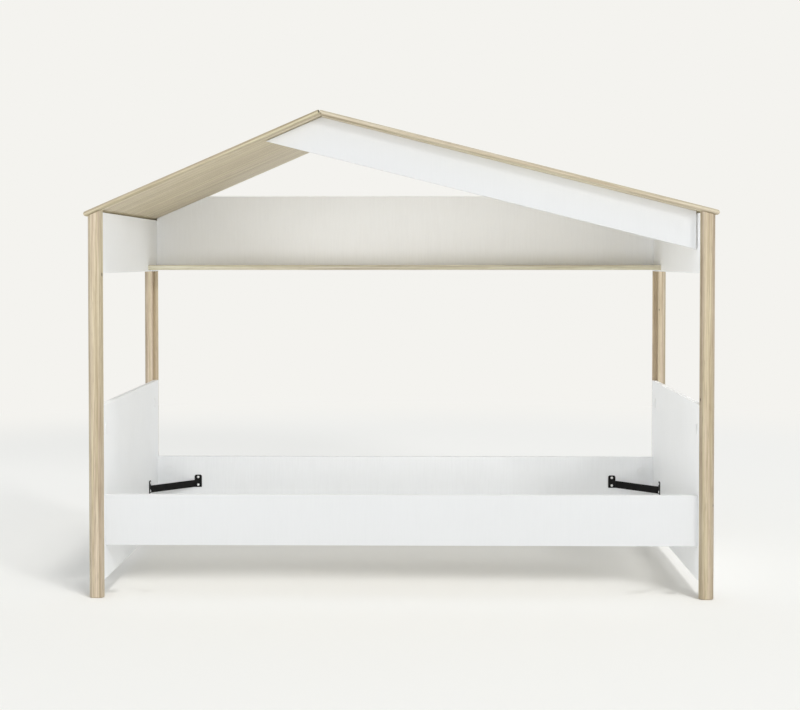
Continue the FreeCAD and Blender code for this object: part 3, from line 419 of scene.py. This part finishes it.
def makeOak(name, turn, seed, look, corner, face=None, marks=()):
    # straight grain along the turned Z: wide, middle and fine figure added up and given a colour, slow
    # shifts of hue, and short dark pores. Painted shade: a corner between directions a and b is darker by
    # 2 |n.a| |n.b|, and a face that looks along the face direction by |n.face|. The marks are darker spots:
    # knots, and the painted shade of a gap.
    material, tree, shader = newMaterial(name)
    o = oak
    shift = tuple(seed * step for step in o["seedSteps"])
    slow = place(tree, turn, (1, 1, o["stretch"]), shift)
    quick = place(tree, turn, (1, 1, o["stretch"] * 2), shift)
    wide = noise(tree, slow, o["wideScale"], detail=1.0, rough=0.5, distortion=o["waviness"])
    bands = noise(tree, slow, o["bandScale"], detail=2.0, rough=0.6, distortion=o["waviness"])
    streaks = noise(tree, quick, o["streakScale"], detail=2.0, rough=0.6)
    figure = combine(tree, "MULTIPLY", wide, o["shares"][0])
    figure = combine(tree, "ADD", figure, combine(tree, "MULTIPLY", bands, o["shares"][1]))
    figure = combine(tree, "ADD", figure, combine(tree, "MULTIPLY", streaks, o["shares"][2]))
    shades = {key: tuple(t * c for t, c in zip(look["tone"], o[key]))
              for key in ("dark", "middle", "light", "pore")}
    colour = ramp(tree, figure, *zip(o["stops"], (shades["dark"], shades["middle"], shades["light"])))
    hue = noise(tree, place(tree, turn, (1, 1, o["stretch"]), shift[::-1]), o["hueScale"], detail=1.0)
    shifts = ramp(tree, hue, *zip(o["hueStops"], (o["yellow"], o["pink"])))
    colour = blend(tree, 1.0, colour, shifts, "MULTIPLY")
    pores = noise(tree, quick, o["poreScale"], detail=1.0)
    poreMask = ramp(tree, pores, *zip(o["poreStops"], (0.0, 1.0)))
    colour = blend(tree, combine(tree, "MULTIPLY", poreMask, o["poreDepth"]), colour, shades["pore"])
    # painted shade on the rounded corners, darkest half way round between the two directions
    edge = combine(tree, "MULTIPLY", facing(tree, corner[0]), facing(tree, corner[1]))
    colour = darken(tree, colour, combine(tree, "MULTIPLY", edge, 2.0), look["cornerShadeTone"])
    # painted shade on faces that look along the face direction
    if face:
        colour = darken(tree, colour, facing(tree, face), look["facingShadeTone"])
    # knots, and the painted shade of the ridge joint's gap
    for centre, half in marks:
        colour = darken(tree, colour, knotAndGapShadeMask(tree, centre, half), look["knotAndGapShadeTone"])
    tree.links.new(colour, shader.inputs["Base Color"])
    shader.inputs["Roughness"].default_value = o["roughness"]
    shader.inputs["Specular IOR Level"].default_value = o["gloss"]
    height = combine(tree, "SUBTRACT", streaks, combine(tree, "MULTIPLY", poreMask, o["poreBump"]))
    bump(tree, shader, height, o["bump"], o["bumpDepth"])
    return material


def makeWhiteBoard(name, kind):
    # lacquered board: a faint slow mottle, and a fine pressed texture that is longer upwards than across
    material, tree, shader = newMaterial(name)
    w = whiteBoard
    mottle = noise(tree, place(tree), w["mottleScale"], detail=4.0, rough=0.6)
    fine = noise(tree, place(tree, scale=w["grainScale"]), 1.0, detail=3.0, rough=0.6)
    mixed = combine(tree, "MULTIPLY", combine(tree, "ADD", mottle, fine), 0.5)
    shade = tuple(w[kind + "Shade"] * c for c in w[kind])
    feed(tree, ramp(tree, mixed, *zip(w["stops"], (shade, w[kind]))), shader.inputs["Base Color"])
    shader.inputs["Roughness"].default_value = w["roughness"]
    shader.inputs["Specular IOR Level"].default_value = w["gloss"]
    bump(tree, shader, fine, w[kind + "Bump"], w["bumpDepth"])
    return material


def makePlain(name, values):
    # two close tones in fine patches, with the roughness a little uneven
    material, tree, shader = newMaterial(name)
    tone = noise(tree, place(tree), values["scale"], detail=4.0, rough=0.6)
    colour = ramp(tree, tone, *zip(plain["stops"], (values["colour"], values["other"])))
    feed(tree, colour, shader.inputs["Base Color"])
    shader.inputs["Metallic"].default_value = values["metallic"]
    shader.inputs["Specular IOR Level"].default_value = values["gloss"]
    patches = noise(tree, place(tree), values["scale"] * plain["patchShare"], detail=3.0, rough=0.6)
    spread = tree.nodes.new("ShaderNodeMapRange")
    spread.inputs["To Min"].default_value = values["roughness"] - plain["smoother"]
    spread.inputs["To Max"].default_value = values["roughness"] + plain["rougher"]
    tree.links.new(patches, spread.inputs["Value"])
    tree.links.new(spread.outputs[0], shader.inputs["Roughness"])
    bump(tree, shader, patches, plain["bump"], plain["bumpDepth"])
    return material


finishes = {
    "white_board": makeWhiteBoard("whiteBoard", "inner"),
    "black_steel": makePlain("blackSteel", blackSteel),
    "zinc_steel": makePlain("zincPlate", zinc),
    "white_plastic": makePlain("whitePlastic", whitePlastic),
    "grey_plastic": makePlain("greyPlastic", greyPlastic),
    "beech": makePlain("beech", beech),
}
slotOf = {part["node"]: part["material_slot"] for part in frame["record"]["subparts"]}
print("materials ready")


def addPiece(name, points, faces, smooth, material, nodes):
    # a mesh from arrays of points and faces; smooth says which faces are curved
    mesh = bpy.data.meshes.new(name)
    mesh.from_pydata(points.tolist(), [], faces)
    mesh.polygons.foreach_set("use_smooth", smooth)
    mesh.materials.append(material)
    mesh.update()
    piece = bpy.data.objects.new(name, mesh)
    bpy.context.collection.objects.link(piece)
    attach(piece, "root")
    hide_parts(*nodes)
    return piece


def ringFaces(rows, ring):
    # quads between neighbouring rows of a closed ring
    row, step = np.meshgrid(np.arange(rows - 1), np.arange(ring), indexing="ij")
    after = (step + 1) % ring
    quads = np.stack([row * ring + step, row * ring + after,
                      (row + 1) * ring + after, (row + 1) * ring + step], axis=-1)
    return quads.reshape(-1, 4)


def loft(rows):
    # rows is an array of rings, rows x ring x 3. Quads join them, and the first and last are closed.
    count, ring = rows.shape[:2]
    faces = ringFaces(count, ring).tolist()
    faces.append(list(range(ring))[::-1])
    faces.append([(count - 1) * ring + k for k in range(ring)])
    return rows.reshape(-1, 3), faces


def outwards(piece):
    # turns the faces of a closed mesh outwards
    work = bmesh.new()
    work.from_mesh(piece.data)
    bmesh.ops.recalc_face_normals(work, faces=work.faces)
    work.to_mesh(piece.data)
    work.free()


def sharpAbove(piece, angle):
    # an edge is drawn sharp where its two faces turn by more than the angle
    piece.data.set_sharp_from_angle(angle=math.radians(angle))


curve = {"merge": 1e-6, "flatWithin": 0.2, "sharpOver": 30, "evenWeight": 100}


def copyOfNode(node, material):
    # the node's own shape, its points merged and its flat facets joined, drawn smooth. A point's normal
    # is the mean of its faces' normals by area, so wide flat faces stay flat and the curves look round.
    mesh = frame["nodes"][node].data.copy()
    mesh.name = node + "_fine"
    work = bmesh.new()
    work.from_mesh(mesh)
    bmesh.ops.remove_doubles(work, verts=work.verts, dist=curve["merge"])
    bmesh.ops.dissolve_limit(work, angle_limit=math.radians(curve["flatWithin"]),
                             verts=work.verts, edges=work.edges)
    for face in work.faces:
        face.smooth = True
    work.to_mesh(mesh)
    work.free()
    mesh.materials.clear()
    mesh.materials.append(material)
    piece = bpy.data.objects.new(node + "_fine", mesh)
    bpy.context.collection.objects.link(piece)
    sharpAbove(piece, curve["sharpOver"])
    evened = piece.modifiers.new("areaNormals", "WEIGHTED_NORMAL")
    evened.keep_sharp = True
    evened.weight = curve["evenWeight"]
    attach(piece, "root")
    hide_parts(node)


def arc(centre, radius, start, end, steps):
    # points centre + radius * (cos a, sin a), a from start to end in degrees
    a = np.radians(np.linspace(start, end, steps + 1))
    return np.stack([centre[0] + radius * np.cos(a), centre[1] + radius * np.sin(a)], axis=1)


post = {"round": 0.015, "lip": 0.016, "footEase": 0.0045, "footSteps": 5, "arcSteps": 10, "sharpOver": 25}
# per post: the corner tone is painted shade on the rounded corners, and the knot tone darkens the knots
postLook = {
    "front_left": {"tone": (0.994, 0.980, 0.979), "cornerShadeTone": 0.78, "knotAndGapShadeTone": 0.35},
    "front_right": {"tone": (0.896, 0.874, 0.853), "cornerShadeTone": 0.78, "knotAndGapShadeTone": 0.35},
    "rear_left": {"tone": (1.003, 0.978, 0.989), "cornerShadeTone": 0.76, "knotAndGapShadeTone": 0.35},
    "rear_right": {"tone": (0.886, 0.853, 0.849), "cornerShadeTone": 0.76, "knotAndGapShadeTone": 0.35},
}
roof = {
    "ridge": (-0.264, 1.582),  # where the upper faces would meet, x and z
    "eaveZ": {-1: 1.253, 1: 1.258},
    "reach": 1.024,
    "board": 0.018,
    "ridgeEase": 0.0045,
    "noseSteps": 10,
    "easeSteps": 6,
    "sharpOver": 20,
}
side = {"left": -1, "right": 1}
end = {"front": -1, "rear": 1}
slope = {
    sx: (roof["ridge"][1] - roof["eaveZ"][sx]) / (roof["reach"] - sx * roof["ridge"][0]) for sx in (-1, 1)
}


def underside(x, sx):
    # ridge level, less the board's thickness measured plumb, less the slope times the distance
    plumb = roof["board"] * math.sqrt(1 + slope[sx] ** 2)
    return roof["ridge"][1] - plumb - slope[sx] * np.abs(x - roof["ridge"][0])


def postRing(p, inset, outerX, outerY, innerX, innerY, panelX):
    # an L-shaped ring, anticlockwise for a post at +X +Y, its three outer corners round
    r = p["round"] - inset
    ox, oy = outerX - inset, outerY - inset
    ix, iy = innerX + inset, innerY + inset
    n = p["arcSteps"]
    return np.concatenate([
        arc((ox - r, iy + r), r, -90, 0, n),
        arc((ox - r, oy - r), r, 0, 90, n),
        arc((ix + r, oy - r), r, 90, 180, n),
        [(ix, outerY - p["lip"]), (panelX, outerY - p["lip"]), (panelX, iy)],
    ])


def makePost(endName, sideName):
    sx, sy = side[sideName], end[endName]
    low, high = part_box(f"post_{endName}_{sideName}")
    outerX, innerX = max(abs(low.x), abs(high.x)), min(abs(low.x), abs(high.x))
    outerY, innerY = max(abs(low.y), abs(high.y)), min(abs(low.y), abs(high.y))
    panelX = max(abs(v.x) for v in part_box(f"lower_end_panel_{sideName}"))
    p = post
    # round the foot's edge: inset = ease (1 - cos a), height = ease (1 - sin a), a from 90 degrees to 0
    a = np.radians(np.linspace(90, 0, p["footSteps"] + 1))
    insets = [*(p["footEase"] * (1 - np.cos(a))), 0]
    rings = [postRing(p, inset, outerX, outerY, innerX, innerY, panelX) for inset in insets]
    rows = np.zeros((len(rings), len(rings[0]), 3))
    rows[:, :, :2] = np.array(rings) * (sx, sy)
    rows[:-1, :, 2] = (p["footEase"] * (1 - np.sin(a)))[:, None]
    rows[-1, :, 2] = underside(rows[-1, :, 0], sx)
    points, faces = loft(rows)
    smooth = [len(face) == 4 for face in faces]
    corner = f"{endName}_{sideName}"
    seed = 3 * sx + 5 * sy + 9
    material = makeOak(f"oakPost_{corner}", (0, 0, 0), seed, postLook[corner],
                       ((1, 0, 0), (0, 1, 0)), marks=knotsAndGapShade[corner])
    piece = addPiece(f"oak_post_{corner}", points, faces, smooth, material, [f"post_{corner}"])
    outwards(piece)
    sharpAbove(piece, p["sharpOver"])


for endName in end:
    for sideName in side:
        makePost(endName, sideName)
print("posts ready")

# the corner and facing tones are painted shade on the board's rounded nose, and the knot tone is the painted
# shade in the ridge joint's open end
roofLook = {"tone": (1.010, 1.026, 0.990), "cornerShadeTone": 0.74, "facingShadeTone": 0.90, "knotAndGapShadeTone": 0.12}


def roofProfile(sx, run, board, turn):
    # along the slope and across the thickness: eave nose, upper face, ridge corner and ridge cut.
    # The left board's end is square. The right one's leans by the two slopes together.
    nose = board / 2
    ease = roof["ridgeEase"]
    n = roof["noseSteps"]
    eave = arc((run - nose, -nose), nose, -90, 90, 2 * n)
    if sx < 0:
        corner = arc((ease, -ease), ease, 90, 180, roof["easeSteps"])
        foot = [(0, -board)]
    else:
        touch = ease / math.tan((math.pi / 2 - turn) / 2)
        corner = arc((touch, -ease), ease, 90, 180 + math.degrees(turn), roof["easeSteps"])
        foot = [(board * math.tan(turn), -board)]
    return np.concatenate([eave, corner, foot])


def makeRoofBoard(sideName):
    sx = side[sideName]
    board = roof["board"]
    nose = board / 2
    tilt = {s: math.atan(slope[s]) for s in (-1, 1)}
    turn = tilt[-1] + tilt[1]
    long = math.sqrt(1 + slope[sx] ** 2)
    flat = roof["reach"] - sx * roof["ridge"][0]
    run = (flat + nose * math.sin(tilt[sx]) - nose) * long + nose
    profile = roofProfile(sx, run, board, turn)
    halfDepth = max(v.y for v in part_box(f"roof_board_{sideName}"))
    # across the depth the edge is a half round: y = depth - nose + nose sin f, thickness limited to
    # nose cos f each side of the middle
    f = np.radians(np.linspace(-90, 0, roof["noseSteps"] + 1))
    y = np.concatenate([-(halfDepth - nose) + nose * np.sin(f), (halfDepth - nose) - nose * np.sin(f[::-1])])
    limit = np.concatenate([nose * np.cos(f), nose * np.cos(f[::-1])])
    z = np.clip(profile[None, :, 1] + nose, -limit[:, None], limit[:, None]) - nose
    x = np.repeat(profile[None, :, 0], len(y), axis=0)
    if sx > 0:
        x = np.maximum(x, -z * math.tan(turn))
    cosine, sine = math.cos(tilt[sx]), math.sin(tilt[sx])
    rows = np.stack([
        roof["ridge"][0] + sx * (x * cosine + z * sine),
        np.repeat(y[:, None], profile.shape[0], axis=1),
        roof["ridge"][1] - x * sine + z * cosine,
    ], axis=-1)
    points, faces = loft(rows)
    smooth = [True] * len(faces)
    seed = 20 + 7 * sx
    depthways, outOfBoard = (0, 1, 0), (sx * sine, 0, cosine)
    material = makeOak(f"oakRoof_{sideName}", (0, -math.pi / 2 - sx * tilt[sx], 0), seed, roofLook,
                       (depthways, outOfBoard), depthways, knotsAndGapShade.get(f"roof_{sideName}", ()))
    piece = addPiece(f"oak_roof_{sideName}", points, faces, smooth, material,
                     [f"roof_board_{sideName}"])
    work = bmesh.new()
    work.from_mesh(piece.data)
    bmesh.ops.remove_doubles(work, verts=work.verts, dist=curve["merge"])
    work.to_mesh(piece.data)
    work.free()
    outwards(piece)
    sharpAbove(piece, roof["sharpOver"])


for sideName in side:
    makeRoofBoard(sideName)
print("roof ready")

# the other nodes keep their shape
# the corner and facing tones are painted shade on the shelf's front and rear faces and their rounded edges
shelfLook = {"tone": (1.070, 1.165, 1.280), "cornerShadeTone": 0.85, "facingShadeTone": 0.96, "seed": 41}
oakShelf = makeOak("oakShelf", (0, math.pi / 2, 0), shelfLook["seed"], shelfLook,
                   ((0, 1, 0), (0, 0, 1)), (0, 1, 0))
# the front rail and fascia get the darker white: painted shade for the stronger light on them
frontBoardPaintedShade = makeWhiteBoard("whiteFrontBoardPaintedShade", "front")
for node in sorted(frame["nodes"]):
    if frame["nodes"][node].hide_render:
        continue
    if node == "shelf":
        copyOfNode(node, oakShelf)
    elif node in ("front_rail", "gable_fascia"):
        copyOfNode(node, frontBoardPaintedShade)
    else:
        copyOfNode(node, finishes[slotOf[node]])
for lampName, pieceNames in studio["passes"].items():
    letThrough(lampName, pieceNames)
for lampName, pieceNames in studio["fills"].items():
    lightOnly(lampName, pieceNames)
print("other pieces ready")
